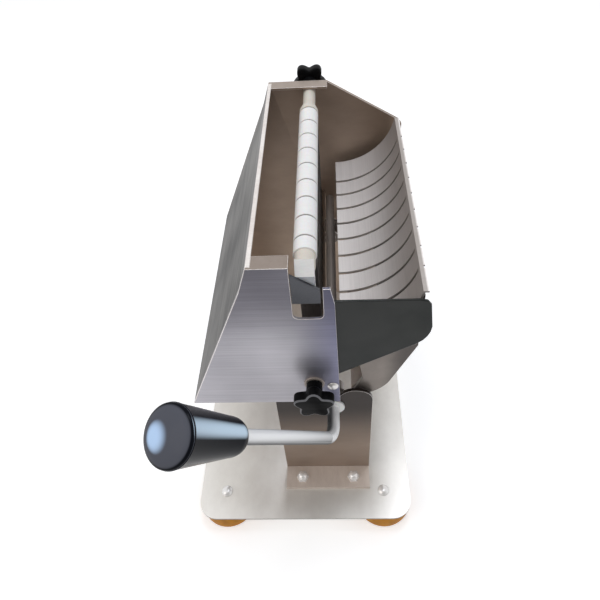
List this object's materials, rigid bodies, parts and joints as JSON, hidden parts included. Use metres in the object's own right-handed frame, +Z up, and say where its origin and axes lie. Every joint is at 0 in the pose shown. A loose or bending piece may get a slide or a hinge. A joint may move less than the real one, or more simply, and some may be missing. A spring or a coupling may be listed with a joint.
{
  "type": "sausage slicer",
  "caption": "Table-top sausage slicer: a side lever tilts a slotted quarter-round trough through fixed upright knives above a rubber-footed steel base",
  "frame": {"origin": "Under the middle of the part's bounding box, on the surface it stands on", "axes": "+X to the right as seen from the operator's side, +Y from the operator to the rear along the knives' rods, +Z up"},
  "size_m": [0.202, 0.4014, 0.314],
  "materials": {
    "base_steel": "satin",
    "plate_steel": "brushed",
    "polished_steel": "polished",
    "stand_steel": "satin",
    "knife_steel": "polished",
    "trough_steel": "satin",
    "rod_chrome": "polished",
    "screw_steel": "polished",
    "grey_rod": "satin",
    "white_nylon": "satin",
    "black_knob": "matte",
    "black_grip": "gloss",
    "amber_rubber": "matte"
  },
  "bodies": {
    "frame": {"base_plate": "base_steel", "foot_1": "amber_rubber", "foot_2": "amber_rubber", "foot_3": "amber_rubber", "foot_4": "amber_rubber", "foot_screw_1": "screw_steel", "foot_screw_2": "screw_steel", "foot_screw_3": "screw_steel", "foot_screw_4": "screw_steel", "front_stand": "stand_steel", "rear_frame": "stand_steel", "stand_bolt_1": "screw_steel", "stand_bolt_2": "screw_steel", "stand_bolt_3": "screw_steel", "stand_bolt_4": "screw_steel", "front_plate": "plate_steel", "hood_wall": "plate_steel", "cheek": "polished_steel", "knife_1": "knife_steel", "knife_2": "knife_steel", "knife_3": "knife_steel", "knife_4": "knife_steel", "knife_5": "knife_steel", "knife_6": "knife_steel", "knife_7": "knife_steel", "knife_8": "knife_steel", "knife_9": "knife_steel", "upper_sleeve_1": "white_nylon", "upper_sleeve_2": "white_nylon", "upper_sleeve_3": "white_nylon", "upper_sleeve_4": "white_nylon", "upper_sleeve_5": "white_nylon", "upper_sleeve_6": "white_nylon", "upper_sleeve_7": "white_nylon", "upper_sleeve_8": "white_nylon", "upper_near_sleeve": "white_nylon", "upper_far_sleeve": "white_nylon", "lower_comb": "grey_rod", "upper_core": "screw_steel", "lower_core": "screw_steel", "end_block": "white_nylon", "end_collar": "grey_rod", "slot_latch": "grey_rod", "tie_rod": "screw_steel", "tie_screw_front": "screw_steel", "tie_screw_rear": "screw_steel", "front_bushing": "white_nylon", "rear_bushing": "white_nylon"},
    "cradle": {"crank_rod": "rod_chrome", "grip": "black_grip", "cradle_trough": "trough_steel", "cradle_skirt": "stand_steel", "arm_front": "stand_steel", "arm_rear": "stand_steel", "hub_front": "stand_steel", "hub_rear": "stand_steel", "rear_collar": "screw_steel"},
    "front_knob": {"front_knob": "black_knob"},
    "rear_knob": {"rear_knob": "black_knob"}
  },
  "joints": [
    {"name": "lever_swing", "type": "hinge", "parent": "frame", "child": "cradle", "pos_m": [0.03, 0.00734, 0.14], "axis": [0, -1, 0], "range_deg": [0, 27]},
    {"name": "front_knob_turn", "type": "hinge", "parent": "frame", "child": "front_knob", "pos_m": [0.016, -0.09326, 0.179], "axis": [0, -1, 0], "continuous": true},
    {"name": "rear_knob_turn", "type": "hinge", "parent": "frame", "child": "rear_knob", "pos_m": [0.015, 0.16474, 0.3], "axis": [0, 1, 0], "continuous": true}
  ]
}
